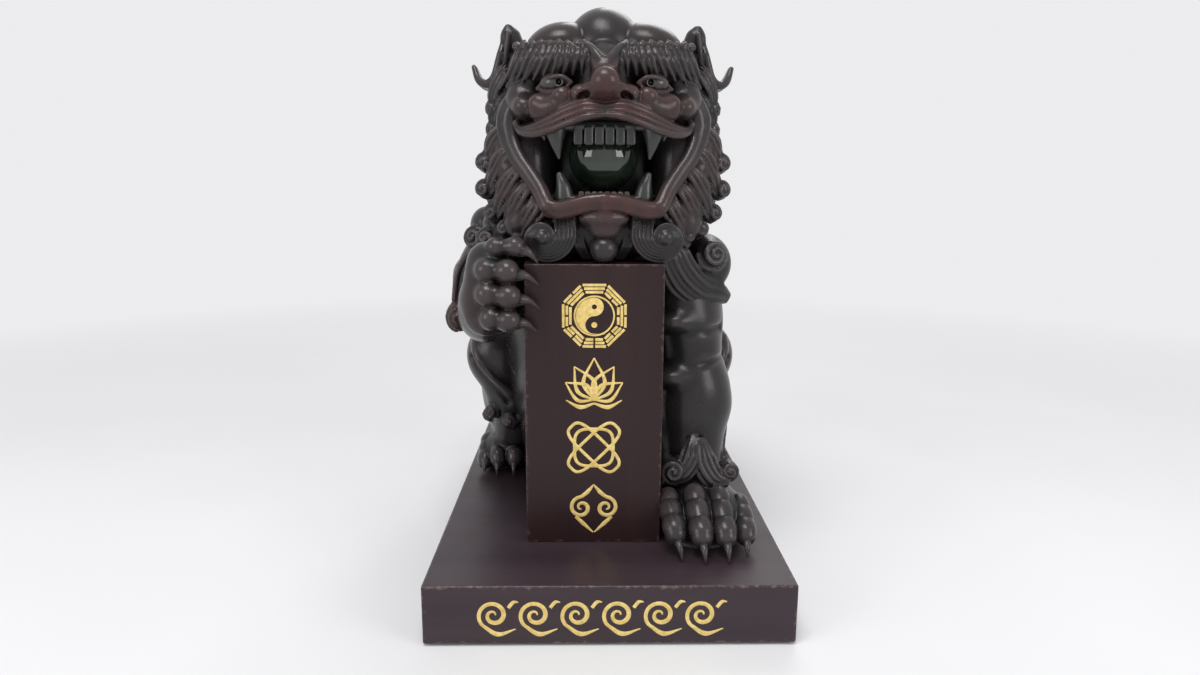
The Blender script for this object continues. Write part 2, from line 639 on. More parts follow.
def jaw_piece():
    clay = Clay((-54, -82, 154), (50, -12, 222), 0.6, MIDDLE)
    flare = (38.5 - 23) / (206 - 174)
    side_normal = (1, 0, -flare)
    front_normal = (0, -1, -0.47)
    outer = [
        ((0, 0, 206), (0, 0, 1)), ((0, 0, 169), (0, 0, -1)), ((0, -18, 0), (0, 1, 0)),
        ((26.5, 0, 174), side_normal), ((0, -57.5, 206), front_normal),
    ]
    clay.planes(outer, (-50, -82, 160), (50, -12, 212), 1.0)
    inner = [
        ((0, 0, 215), (0, 0, 1)), ((0, 0, 176.5), (0, 0, -1)), ((0, -32, 0), (0, 1, 0)),
        ((22, 0, 174), side_normal),
    ]
    clay.planes(inner, (-50, -90, 172), (50, -28, 216), 0.8, True)
    # The lip round the mouth: a broad band, rolled at its edges
    rim = curve([
        (35, -57.5, 217.5), (38.6, -57, 211), (38.6, -58, 203), (35.4, -61.5, 194.5), (30.4, -65.4, 187.2),
        (26.2, -69, 181), (24, -71.6, 176.4), (22.8, -73, 173.4),
    ])
    ease = np.linspace(1, 0.3, len(rim))[:, None]
    clay.rope(rim, (2.0, 2.4), 1.2, mirror=True)
    clay.rope(rim + ease * (2.6, 0.6, -0.6), (2.3, 2.4), 2.0, mirror=True)
    clay.rope(rim + ease * (5.2, 3.4, -1.0), (2.5, 2.4), 2.0, mirror=True)
    lip = curve([(22.8, -73, 173.4), (18, -74.6, 173), (12, -75.6, 174.4), (6, -76, 175.8), (0, -76, 176.2)])
    clay.rope(lip, (2.4, 2.6), 1.0, mirror=True)
    clay.rope(lip + (0, 0.9, -2.8), (2.2, 2.4), 1.4, mirror=True)
    # Chin
    clay.blob((0, -71, 168.4), (10.6, 5.6, 4.4), blend=1.2)
    clay.blob((0, -70.6, 164.2), (7.4, 5.2, 5.0), blend=2.5)
    clay.blob((0, -73.6, 168.6), (5.5, 3.6, 2.6), blend=1.5)
    # The cheek's fold outside the lip
    fold = curve([(36, -53, 220), (41.5, -50, 212), (42.6, -50, 203), (40.4, -53, 194)])
    clay.rope(fold, (4.4, 3.2), 2.0, mirror=True)
    rubs = (
        (0, -77, 175, 10, 0.95), (0, -77, 166, 6, 0.7), (10, -76, 174, 8, 0.95), (19, -75, 172, 7, 0.9),
        (25, -70, 177, 6, 0.6), (33, -64, 188, 7, 0.3),
    )
    return clay.piece("lion_jaw", rubs)


def upper_teeth_piece():
    clay = Clay((-32, -80, 190), (27, -60, 210), 0.35, MIDDLE)
    gum = curve([(0, -72.4, 205.4), (10, -71.8, 205.4), (19, -69.6, 205.4), (23, -66.6, 205.4)])
    clay.rope(gum, 2.0, 0.4, mirror=True)
    for k in range(6):
        x = (k - 2.5) * 4.3
        clay.slab((x, -73.2 + 0.012 * x * x, 201.6), (1.95, 1.7, 3.8), 0.8, 0.1)
    fang = curve([(20, -69.8, 205.4), (19.7, -71.4, 199.4), (18.6, -71, 192.6)])
    clay.rope(fang, (5.0, 0.6), 0.3, mirror=True)
    spur = curve([(24.8, -66.4, 205.4), (25, -67, 202.4), (24.6, -66.8, 200.2)])
    clay.rope(spur, (2.2, 0.6), 0.3, mirror=True)
    return clay.piece("upper_fangs_and_teeth")


def lower_teeth_piece():
    clay = Clay((-30, -76, 170), (25, -54, 192), 0.35, MIDDLE)
    gum = curve([(0, -70.2, 175.6), (9, -69.8, 175.6), (16.5, -68, 175.6), (20, -63, 176.2)])
    clay.rope(gum, 2.2, 0.4, mirror=True)
    for k in range(8):
        x = (k - 3.5) * 2.7
        clay.slab((x, -70.8 + 0.012 * x * x, 177.4), (1.2, 1.2, 1.9), 0.7, 0.1)
    fang = curve([(16.4, -67.8, 175.6), (17, -68.8, 181), (18.4, -68.4, 185.8)])
    clay.rope(fang, (4.4, 1.5), 0.3, mirror=True)
    return clay.piece("lower_fangs_and_teeth")


def tongue_piece():
    clay = Clay((-22, -70, 170), (17, -32, 186), 0.5, MIDDLE)
    clay.blob((0, -51, 176), (13, 16, 4.4), blend=0)
    clay.rope(curve([(0, -66, 177.4), (0, -56, 180.2), (0, -42, 180)]), 0.8, 1.5, cut=True)
    # The cup that the ball lies in
    clay.blob(BALL_CENTRE, (15.4, 15.4, 15.4), blend=0.4, cut=True)
    return clay.piece("lion_tongue")


def ball_piece():
    """A plain sphere, as large as the solid ball."""
    low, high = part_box("mouth_ball")
    centre = (low + high) / 2
    bpy.ops.mesh.primitive_ico_sphere_add(subdivisions=6, radius=(high.x - low.x) / 2, location=centre)
    obj = bpy.context.object
    obj.name = "polished_ball"
    obj.data.transform(Matrix.Translation(obj.location))
    obj.location = (0, 0, 0)
    obj.data.shade_smooth()
    return obj


def ear_piece(name, side):
    """An ear that hangs from the temple and turns its tip out and up."""
    clay = Clay((-66, -50, 218), (61, -14, 254), 0.45, MIDDLE)
    stations = curve([
        (42.4, -34, 250.2), (44.6, -31.5, 241), (46.4, -30.5, 233), (48.6, -30, 227.6),
        (52.4, -29.5, 225.8), (55.8, -29, 228.2), (58, -28.6, 233.6),
    ], 8)
    share = np.linspace(0, 1, len(stations))
    deep = np.interp(share, (0, 0.22, 0.5, 0.75, 1), (0.4, 6.8, 7.6, 4.6, 1.5))
    for offset in np.linspace(-1, 1, 9):
        line = stations.copy()
        line[:, 1] += offset * deep
        line[:, 0] -= 1.6 * (1 - abs(offset)) * np.interp(share, (0, 0.5, 1), (0.5, 1, 0))
        line[:, 0] *= side
        rim = 1.15 if abs(offset) > 0.9 else 1.0
        clay.rope(line, rim * np.interp(share, (0, 0.3, 0.8, 1), (0.7, 1.75, 1.6, 1.0)), 0.35)
    root = np.array([(41, -33, 246), (38, -33, 238), (38.5, -31, 230)]) * (side, 1, 1)
    clay.rope(curve(root), 4.5, 2.5)
    for k in range(5):
        flute = curve([
            (41 + 0.4 * k, -40.5 + 2.6 * k, 246.5), (42.6 + 0.3 * k, -39.5 + 2.9 * k, 238),
            (43.6 + 0.5 * k, -37 + 2.6 * k, 230),
        ], 5)
        clay.rope(flute * (side, 1, 1), 1.2, 0.6)
    return clay.piece(name)


def beard_piece():
    clay = Clay((-50, -86, 146), (45, -34, 180), 0.42, MIDDLE)
    clay.blob((0, -55, 161), (37, 12, 11.5), blend=2)
    # The bead under the chin, with a spiral cut in it
    bead = np.array((0, -70.4, 155.4))
    clay.blob(bead, (6.0, 5.8, 5.8), blend=0.4)
    clay.rope(coil(bead + (0, -5.4, 0.4), (0, -1, 0), (0, 0, 1), 3.8, 2, 0.1, 0.25), 0.42, 0.3, cut=True)
    # Two locks that fall beside the chin, pass under and roll up into a spiral
    centre = np.array((25.2, -70.0, 160.4))
    for reach in np.linspace(5.0, 13.0, 6):
        angle = np.linspace(0, 2.5 * math.pi, 40)
        shrink = np.exp(-0.175 * angle)
        size = reach * shrink
        dome = -4.4 * (1 - size / 14)
        roll = centre + np.stack([-size * np.cos(angle), dome, -size * np.sin(angle)], 1)
        fall = np.array([
            (centre[0] - 1.0 - 0.8 * reach, -66.0, 175.0),
            (centre[0] - 0.4 - 0.95 * reach, -69.2, 167.5),
        ])
        strand = curve(np.vstack([fall, roll]), 2)
        fade = np.repeat(0.84 * shrink**0.75, 2)
        thick = np.concatenate([np.linspace(0.6, 0.84, len(strand) - len(fade)), fade])
        clay.rope(strand, thick, 0.12, mirror=True)
    clay.rope([centre + (0.4, 3.5, 0), centre + (0.6, -2.2, 0)], [7.6, 3.4], 0.4, mirror=True)
    clay.blob((16.5, -64.6, 166), (6, 4.0, 8), (0, 8, 0), blend=1, mirror=True)
    # Short strands that tuck in behind the bead
    for k in range(4):
        strand = curve([(9.5 + 1.5 * k, -64, 168), (8.4 + 1.3 * k, -66.4, 158), (5.6 + 1.0 * k, -64, 151)], 5)
        clay.rope(strand, (0.9, 0.6), 0.2, mirror=True)
    clay.floor_cut(149.6)
    return clay.piece("lion_beard")


def mane_piece():
    clay = Clay((-70, -74, 128), (65, 62, 252), 0.65, MIDDLE)
    wide, deep, tall = 50.0, 46.0, 56.0
    heart = np.array((0, 0, 188.0))
    clay.blob(heart, (wide, deep, tall), blend=3)
    clay.blob((33, -41, 190), (13, 17, 36), blend=6, mirror=True)
    clay.rope([(41, -51, 202), (40, -54, 190), (33, -60, 172)], [6.0, 6.5, 6.0], 3, mirror=True)
    clay.blob((34, -57.5, 166), (9, 8, 9), blend=3, mirror=True)

    def shell(azimuth, height_angle, lift):
        """A point on the mane, its normal and the way down; azimuth 0 is at the back."""
        a = math.radians(azimuth)
        h = math.radians(height_angle)
        way = np.array((math.cos(h) * math.sin(a), math.cos(h) * math.cos(a), math.sin(h)))
        normal = unit(way / (wide, deep, tall))
        down = np.array((-math.sin(h) * math.sin(a), -math.sin(h) * math.cos(a), math.cos(h))) * -1
        return heart + way * (wide, deep, tall) + normal * lift, normal, down

    rows = ((66, 118), (45, 120), (25, 128), (6, 132), (-13, 132), (-32, 128))
    for row, (height_angle, reach) in enumerate(rows):
        girth = math.radians(2 * reach) * wide * math.cos(math.radians(height_angle))
        count = max(3, round(girth / 16.5))
        step = 2 * reach / count
        for k in range(count):
            azimuth = reach * (2 * (k + 0.5) / count - 1)
            hand = 1 if (k + row) % 2 else -1
            centre, normal, down = shell(azimuth, height_angle, 4.6)
            clay.snail(centre, normal, 7.6, -down, hand, 2.1)
            side = np.cross(normal, down)
            path = [
                shell(azimuth, height_angle + 19, 1.0)[0],
                shell(azimuth, height_angle + 13, 3.0)[0] + side * hand * 3,
                shell(azimuth, height_angle + 6, 4.4)[0] + side * hand * 7,
                centre + side * hand * 7.2 + normal * 0.4,
            ]
            clay.lock(path, normal, (14, 13, 9, 4), 5, 0.2, crown=0.3)
            # A smaller curl on a lock of its own, in the gap below
            if k and row < len(rows) - 1:
                gap = azimuth - step / 2
                fill = [
                    shell(gap + turn, height_angle - drop, 2.6)[0] for turn, drop in ((3, -5), (4, 2), (1, 8))
                ]
                clay.lock(fill, normal, (6, 9, 5), 4, 0.2, crown=0.3)
                small, facing, below = shell(gap, height_angle - 10, 3.4)
                clay.snail(small, facing, 4.8, -below, -hand, 1.6)
    # A collar of curls that lies on the shoulders, and the curl on the crown
    rings = ((165, 44, 43), (158, 46, 47.5), (151, 47, 51), (145, 47.5, 53.5))
    for k in range(13):
        a = math.radians(-96 + 16 * k)
        path = [
            np.array((half_wide * math.sin(a), 4 + half_deep * math.cos(a), height))
            for height, half_wide, half_deep in rings
        ]
        facing = unit((math.sin(a), math.cos(a), 0.25))
        clay.lock(path, facing, (9, 12, 10, 4), 5, 0.2, crown=0.3)
        clay.snail(path[-1] + facing * 0.6, facing, 6.6, (0, 0, 1), 1 if k % 2 else -1, 2.0)
    centre, normal, down = shell(0, 84, 4.6)
    clay.snail(centre, normal, 7.6, -down, 1, 2.1)
    # Hair combed back from the mouth into bead curls along the cheeks
    bundles = (
        ((37.5, -56, 203), (43, -56, 203.4), (48.4, -52, 199), (51, -47.5, 192.6)),
        ((36, -59, 196.6), (41.5, -59.5, 195), (47, -55.5, 188.6), (50.4, -49.5, 181.4)),
        ((32.6, -62, 190), (38, -63, 186.4), (43.4, -59.6, 179), (46.8, -53, 171.4)),
        ((28.8, -65.4, 183), (34, -66.4, 179), (38.6, -63, 171.8), (40.8, -57, 164.8)),
        ((25.4, -68, 176.4), (29.4, -68.4, 172.6), (33.2, -66, 167), (35.6, -62.4, 161.4)),
    )
    for path in bundles:
        clay.lock(path, (0.5, -0.85, 0.1), (7.0, 9.0, 7.8, 2.6), 5, 0.25, True, 0.8, (0.8, 0.9), 0.55)
        between = np.array(path) + (1.4, 1.6, -4.6)
        clay.lock(between, (0.5, -0.85, 0.1), (5, 6.5, 6.0, 3.0), 4, 0.25, True, 0.5, (0.8, 0.9), 0.5)
    beads = (
        ((52, -48.4, 191.4), 5.2), ((52.2, -50, 180), 5.1), ((48.4, -53.6, 170), 4.8),
        ((42.4, -57.8, 163.4), 4.6), ((36.6, -62.4, 160.4), 3.6),
    )
    for centre, radius in beads:
        clay.snail(centre, (0.4, -0.9, 0.15), radius, (-0.6, -0.4, 1), -1, 1.5, mirror=True)
    # Curls on the skull behind the brow, and down the side of the neck behind the cheeks
    radii = np.array(SKULL_RADII, float)
    for x, y in ((0, -13), (14.5, -13), (28, -13), (7.4, -26), (21.6, -25), (33.5, -22)):
        rise = math.sqrt(1 - (x / radii[0]) ** 2 - ((y - SKULL[1]) / radii[1]) ** 2)
        spot = np.array((x, y, SKULL[2] + radii[2] * rise))
        normal = unit((spot - SKULL) / radii**2)
        clay.snail(spot + normal * 1.6, normal, 6.8, (0, 1, 0), -1, 2.0, mirror=x > 0)
    for x, z in ((44.2, 214), (46.6, 199), (46.9, 184), (44.9, 169)):
        path = [(x - 3.4, -37, z + 14), (x - 0.6, -34, z + 10), (x + 0.6, -32.5, z + 5), (x + 0.6, -32, z)]
        clay.lock(path, (0.95, -0.2, 0.1), (9, 12, 9, 4), 5, 0.2, True, 0.3)
        clay.snail((x + 0.4, -36.5, z), (0.95, -0.25, 0.1), 6.8, (0, 1, 0), -1, 2.0, mirror=True)
    # Sideburn locks between the ears and the cheeks
    for k in range(3):
        z = 226 - 9 * k
        path = [(42, -44, z + 6), (46.5, -43, z + 1), (49, -41, z - 6), (48, -40, z - 11)]
        clay.lock(path, (0.8, -0.6, 0), (6, 7, 6, 3), 4, 0.3, True, 0.3)
        clay.snail((49.5, -40.5, z - 11), (0.75, -0.65, 0), 4.4, (0, 0, 1), -1, 1.6, mirror=True)
    # The long lock that falls over the standing leg's shoulder
    fall = np.array([
        (25, -63, 160), (28.5, -62.5, 150), (34, -58, 141), (42, -53, 134.5), (50, -48, 133), (55, -43, 131),
    ]) - (MIDDLE, 0, 0)
    clay.lock(fall, (0.3, -0.9, -0.2), (9, 14, 15, 13, 9, 4), 7, 0.25, crown=0.35)
    clay.snail((46 - MIDDLE, -53, 151.5), (0.35, -0.9, 0.2), 9.4, (-1, 0, 0), 1, 2.4)
    clay.blob((42 - MIDDLE, -44, 147), (14, 9, 14), blend=2)
    # Curls over the raised paw
    for x, y, z, radius in ((-54, -50, 158, 6.5), (-61, -38, 158, 6.5), (-48, -57, 154, 5.0)):
        clay.snail((x - MIDDLE, y, z), (-0.35, -0.9, 0.2), radius, (0, 0, 1), 1, 1.8)
        clay.blob((x - MIDDLE + 5, y + 9, z + 5), (8, 9, 9), blend=2)
    rubs = [(x, y - 3, z, 7, 0.34) for path in bundles for x, y, z in path[:3]]
    return clay.piece("lion_mane", rubs)


def torso_piece():
    clay = Clay((-60, -56, 24), (56, 106, 210), 1.0, MIDDLE)
    clay.column([
        (26, 0, 48, 86, 88), (37, 0, 46.5, 98, 106), (60, 0, 38, 104, 122), (100, 0, 17.5, 100, 129),
        (139, 0, 4, 92, 106), (175, 0, 4, 78, 71), (206, 0, 4, 70, 66),
    ])
    # Shoulder blades
    clay.blob((29, 38, 124), (15, 12, 22), (-28, 0, 0), blend=9, mirror=True)
    # Ribs
    for k in range(5):
        z = 98 + 8 * k
        rib = curve([
            (43.6 - 0.9 * k, -8 - 1.5 * k, z - 10), (49.6 - 1.1 * k, 12 - 2 * k, z),
            (43 - 1.5 * k, 36 - 4 * k, z + 5),
        ])
        clay.rope(rib, taper(rib, (0, 0.4, 1), (0.2, 1.3, 0.3)), 3.0, mirror=True)
    clay.floor_cut(PLINTH_TOP)
    return clay.piece("lion_torso")


def toe(clay, knuckle, middle, tip, radius, claw=2.3):
    """A toe with folded skin, and a slender hooked claw."""
    rings = 3.5
    knuckle, middle, tip = [np.asarray(p, float) for p in (knuckle, middle, tip)]
    last = middle + (tip - middle) * 0.26
    line = curve([knuckle + (knuckle - middle) * 0.9, knuckle, middle, last], 9)
    share = np.linspace(0, 1, len(line))
    fold = np.abs(np.sin(math.pi * (rings * share + 0.25))) ** 0.7
    thick = radius * (0.86 + 0.17 * fold) * np.interp(share, (0, 0.3, 0.8, 1), (0.9, 1, 1, 0.8))
    clay.rope(line, thick, 0.3)
    base = last + (tip - last) * 0.12
    hook = curve([base, base * 0.45 + tip * 0.55 + np.array((0, -0.8, 1.3)), tip])
    clay.rope(hook, (claw, 0.45), 0.1)


def tuft(clay, path, normal, width, centre, radius, hand, start):
    """Strands that gather into a snail curl."""
    widths = [width * share for share in (0.35, 1, 0.9, 0.3)]
    clay.lock(path, normal, widths, 5, 0.2, crown=0.6, ends=(0.3, 0.8))
    clay.snail(centre, normal, radius, start, hand, 1.9)


def standing_leg_piece():
    clay = Clay((10, -102, 24), (72, 4, 164), 0.58)
    clay.column([
        (160, 27, -22, 20, 34), (142, 33, -26, 36, 50), (124, 36, -33, 37, 48), (106, 38.6, -37, 31, 38),
        (92, 39.6, -41, 36, 38), (80, 40, -42, 37.5, 38), (66, 39.6, -43, 32, 33), (52, 40, -47, 29, 32),
        (40, 41, -56, 34, 40), (26, 42, -60, 40, 46),
    ])
    # The crease at the elbow, and the soft folds over it
    elbow = [(20, -50, 101), (30, -57.5, 101.5), (40, -58.5, 102.4), (50, -50, 103.5), (56, -38, 104)]
    clay.rope(curve(elbow), 0.9, 2.6, cut=True)
    clay.blob((30, -52, 96.5), (9, 8, 5), blend=4)
    fold = [(20, -48, 116), (30, -57, 116.6), (42, -57, 117.6), (52, -46, 118)]
    clay.rope(curve(fold), 0.8, 3.5, cut=True)
    clay.blob((30, -52, 122), (8, 8, 5), blend=4)
    # Paw
    clay.blob((43, -64, 36), (21, 21, 12.5), blend=3)
    for knuckle, middle, tip, radius in (
        ((27.6, -77, 41.4), (28.2, -85, 37.2), (30.8, -95, CLAW_TIP), 5.0),
        ((38.8, -80, 42.8), (39.4, -88, 37.2), (40.2, -98, CLAW_TIP), 5.2),
        ((49.4, -79, 42.0), (49.8, -87, 36.8), (50.3, -96.8, CLAW_TIP), 5.1),
        ((59.2, -75, 38.4), (59.4, -82.5, 34.8), (58.9, -91.5, CLAW_TIP), 4.8),
    ):
        toe(clay, knuckle, middle, tip, radius)
    # Tufts of hair over the ankle
    inner = [(39, -60, 71), (38, -64.4, 63), (34, -67, 56), (28.4, -67, 51.4)]
    tuft(clay, inner, (-0.1, -1, 0.15), 9, (29.4, -66, 55.6), 7.2, -1, (0.3, 0, -1))
    front = [(42, -61, 70), (43.6, -65, 60), (48, -67, 52.6), (54, -66, 50.4)]
    tuft(clay, front, (0.15, -1, 0.15), 10, (55, -64, 55), 5.6, 1, (-0.3, 0, -1))
    outer = [(57, -42, 74), (55.8, -43, 65), (55.2, -45, 57), (55.6, -48, 50)]
    tuft(clay, outer, (1, -0.1, 0), 8, (55.4, -46, 55), 5.0, 1, (0, 0, -1))
    back = [(42, -24, 78), (42, -25.5, 66), (42, -28, 57), (41, -31.5, 48)]
    tuft(clay, back, (0, 1, 0), 10, (41, -30.5, 52), 6, 1, (0, 0, -1))
    clay.floor_cut(PLINTH_TOP)
    return clay.piece("standing_foreleg_carved")


def raised_leg_piece():
    clay = Clay((-76, -96, 98), (-22, 0, 166), 0.65)
    clay.blob((-50, -26, 140), (20, 24, 24), blend=4)
    clay.blob((-57.5, -30, 138), (13.5, 17, 15), (0, 12, 0), blend=4)
    clay.rope(curve([(-54, -32, 121), (-55.5, -50, 124), (-53, -66, 133)]), (12.5, 11.5), 3)
    clay.blob((-50, -69, 138), (11, 12, 19), (0, -6, 0), blend=4)
    # Each toe has two round knuckles and a claw that reaches over the stele
    for outer, inner, tip, size in (
        ((-47, -77, 156.4), (-39, -78.6, 157), (-29.6, -77.4, 150), 4.2),
        ((-50.6, -80, 147.4), (-42, -82.4, 147.2), (-29.2, -78, 140.8), 5.0),
        ((-50.4, -81.6, 137.6), (-41.4, -83.6, 137), (-29.0, -78, 131), 5.1),
        ((-49, -81, 127.6), (-41.6, -83, 127), (-30.4, -77.8, 121.4), 4.9),
    ):
        outer, inner, tip = [np.array(p, float) for p in (outer, inner, tip)]
        clay.blob(outer, (size * 1.04,) * 3, blend=2.4)
        clay.rope([outer, inner], size * 0.8, 1.0)
        clay.blob(inner, (size,) * 3, blend=1.2)
        start = inner * 0.78 + tip * 0.22
        clay.rope(curve([start, start * 0.5 + tip * 0.5 + np.array((0, -1.4, 1.7)), tip]), (3.0, 0.45), 0.3)
    clay.rope([(-51, -71, 150), (-53, -71, 127)], 8.5, 3)
    # The ball of hair at the elbow
    clay.blob((-68.3, -42, 121.8), (6.0, 6.6, 6.8), blend=0.5)
    h = np.linspace(-1.3, 1.3, 9)
    for k in range(7):
        a = math.radians(-75 + 25 * k)
        rib = np.stack([
            -68.1 - 6.1 * np.cos(h) * math.cos(a) * 0.98, np.full(len(h), -42 - 6.8 * math.sin(a)),
            121.8 + 7.0 * np.sin(h) * math.cos(a),
        ], 1)
        clay.rope(rib, 0.75, 0.25)
    # Hair along the outside of the arm, down to the elbow
    clay.rope(curve([(-57, -34, 152), (-63.5, -37, 142), (-66, -40, 130)]), (7.5, 5.5), 2)
    for k in range(6):
        strand = curve([
            (-60.5 - 0.3 * k, -40 + 3.0 * k, 154.5 - 0.5 * k), (-68 - 0.5 * k, -43 + 2.6 * k, 143.5),
            (-70.2 - 0.2 * k, -44.5 + 2.2 * k, 130),
        ])
        clay.rope(strand, taper(strand, (0, 0.2, 1), (0.7, 1.5, 1.2)), 0.3)
    # Tendons on the back of the paw
    for z in (147, 137, 128):
        clay.rope(curve([(-50, -80.5, z), (-56, -76, z - 1), (-60, -68, z - 3)]), 1.6, 1.6)
    rubs = ((-70, -44, 121.8, 9, 0.75), (-56, -78, 135, 12, 0.3), (-44, -86, 136, 10, 0.22))
    return clay.piece("raised_foreleg_carved", rubs)


def hind_leg_piece(name, side):
    clay = Clay((-76, -6, 24), (76, 92, 128), 0.85, MIDDLE)

    def at(x, y, z):
        return np.array((side * x, y, z))

    clay.blob(at(46, 44, 76), (21.5, 40, 46), blend=3)
    clay.blob(at(54, 13, 92), (17, 15.5, 19), (0, side * 10, 0), blend=5)
    clay.rope(curve([at(52, 13, 84), at(48.6, 14, 70), at(46.5, 17, 58), at(48, 22, 44)]), (13.5, 10.5), 3)
    # The muscle that crosses the knee
    ridge = curve([at(66, 8, 104), at(64.6, 1.4, 95), at(57.5, -1.6, 85), at(47, 1.4, 74)])
    clay.rope(ridge, taper(ridge, (0, 0.4, 1), (0.3, 1.8, 0.6)), 2.6)
    clay.rope((ridge + at(1.5, 0.4, -5.0))[4:], 1.0, 2.4, cut=True)
    for k in range(3):
        fold = curve([at(66.5, 26 + 9 * k, 106 - 3 * k), at(68.6, 34 + 9 * k, 84), at(65.5, 46 + 8 * k, 58)])
        clay.rope(fold, 1.0, 3.0, cut=True)
    # Paw
    clay.blob(at(51, 30, 35), (15.5, 20, 12), blend=3)
    for x, y, z in ((37.4, 22, 38.6), (46.4, 18.5, 40.4), (55.4, 19, 39.8), (62.8, 24, 36.4)):
        toe(clay, at(x, y, z), at(x, y - 6.8, z - 3.6), at(x, y - 14.5, CLAW_TIP), 4.6, 2.2)
    # Tufts at the hock
    for x, y, z, radius in ((57.5, 5.5, 63.5, 5.2), (48.5, 4, 58.5, 4.8), (60.5, 17, 58, 5.2)):
        path = [
            at(x - 3, y + 4, z + 14), at(x - 4.5, y + 1.5, z + 8), at(x - 4, y, z + 2),
            at(x - 1.5, y - 0.5, z - 3),
        ]
        tuft(clay, path, at(0.3, -1, 0.05), 6, at(x, y - 0.5, z), radius, -side, at(-1, 0, -1))
    heel = [at(50, 83, 68), at(52, 81, 59), at(53, 76.5, 50), at(52, 70, 42)]
    tuft(clay, heel, at(0.3, 0.9, -0.3), 9, at(53, 75, 47), 6, side, (0, 0, -1))
    clay.floor_cut(PLINTH_TOP)
    return clay.piece(name)


def tail_piece():
    """A flame of hair that rises against the back, with curls along its edges."""
    clay = Clay((-32, 46, 30), (28, 116, 158), 0.65, MIDDLE)
    sections = np.array([
        (36, 0, 99, 15, 15), (59, 0, 101.5, 22, 16), (90, 0, 92.5, 36, 16), (118, 0, 76.5, 41, 20),
        (141, 0, 63, 29, 20), (153, 0, 56.5, 10, 15),
    ])
    clay.column(sections)

    def skin(across, height, lift):
        """A point on the back of the flame; across is a share of its half width there."""
        middle, wide, deep = [np.interp(height, sections[:, 0], sections[:, k]) for k in (2, 3, 4)]
        return (across * wide / 2, middle + deep / 2 * math.sqrt(1 - across**2) + lift, height)

    facing = (0.4, 0.82, 0.4)
    for level, size in enumerate((0.9, 1.0, 1.0, 1.0, 0.95, 0.75)):
        root = 38 + 17 * level
        fill = [
            skin(0.05, root + 6, 0.4), skin(0.3, root + 14, 1.0), skin(0.5, root + 21, 1.0),
            skin(0.55, root + 25, 0.6),
        ]
        clay.lock(fill, facing, (6, 9, 8, 4), 5, 0.2, True, 0.3)
        clay.snail(skin(0.5, root + 24, 1.6), facing, 4.6 * size, (0.6, 0, 1), -1, 1.6, mirror=True)
        path = [
            skin(0.15, root, 0.4), skin(0.5, root + 7, 0.8), skin(0.78, root + 13, 0.8),
            skin(0.95, root + 19, 0.2),
        ]
        clay.lock(path, facing, (6, 10, 9, 4), 5, 0.2, True, 0.3)
        clay.snail(skin(0.9, root + 18, 0.6), (0.6, 0.72, 0.3), 6.8 * size, (0.6, 0, 1), -1, 2.0, mirror=True)
        flank = skin(0.97, root + 10, -3.0)
        clay.snail(flank, (0.95, 0.15, 0.3), 6.4 * size, (0, 0.6, 1), -1, 1.9, mirror=True)
    clay.blob((0, 57.5, 151), (6.5, 8, 6.5), blend=3)
    middle = [skin(0, height, 1.0) for height in (37, 58, 80, 103, 128, 152)]
    clay.lock(middle, (0, 0.85, 0.5), (8, 11, 12, 11, 8, 2.5), 6, 0.2, crown=0.3, wave=0.5)
    return clay.piece("lion_tail")


def slab_piece(name, node, bevel, front):
    """A box with softened edges and its front at a given place."""
    low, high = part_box(node)
    low.y = front * MM
    bpy.ops.mesh.primitive_cube_add(size=1)
    obj = bpy.context.object
    obj.name = name
    scale = Matrix.Diagonal((*(high - low), 1))
    obj.data.transform(Matrix.Translation((low + high) / 2) @ scale)
    soft = obj.modifiers.new("soft_edges", "BEVEL")
    soft.width = bevel * MM
    soft.segments = 3
    soft.harden_normals = True
    return obj


# Gold work
def ribbon(points, widths):
    """A stroke with a ridge down its middle, drawn on a level plane: x, y and how high it stands."""
    points = np.asarray(points, float)
    along = np.gradient(points, axis=0)
    across = np.stack([-along[:, 1], along[:, 0]], 1)
    across /= np.linalg.norm(across, axis=1)[:, None]
    half = taper(points, np.linspace(0, 1, len(widths)), widths)[:, None] / 2
    count = len(points)
    sunk = np.full((count, 1), -0.05)
    left = np.hstack([points - across * half, sunk])
    ridge = np.hstack([points, np.full((count, 1), GOLD_HEIGHT)])
    right = np.hstack([points + across * half, sunk])
    faces = []
    for k in range(count - 1):
        for a, b in ((0, 1), (1, 2), (2, 0)):
            faces.append([a * count + k, a * count + k + 1, b * count + k + 1, b * count + k])
    faces.append([0, count, 2 * count])
    faces.append([3 * count - 1, 2 * count - 1, count - 1])
    return np.vstack([left, ridge, right]), faces


def gold_piece(name, strokes, centre, front):
    """Strokes on an upright face, as one piece."""
    points = []
    faces = []
    for path, widths in strokes:
        verts, loops = ribbon(path, widths)
        start = sum(len(p) for p in points)
        points.append(verts)
        faces += [[start + i for i in loop] for loop in loops]
    flat = np.vstack(points)
    solid = np.stack([centre[0] + flat[:, 0], front - flat[:, 2], centre[1] + flat[:, 1]], 1)
    return mesh_object(name, solid, np.array(faces, dtype=object), smooth=False)


def scroll(centre, radius, turns, start, hand):
    """A flat spiral that winds in to a small share of its radius."""
    inner = 0.12
    angle = np.linspace(0, 2 * math.pi * turns, int(30 * turns))
    reach = radius * (1 - (1 - inner) * angle / angle[-1])
    turn = start + hand * angle
    return centre + reach[:, None] * np.stack([np.cos(turn), np.sin(turn)], 1)


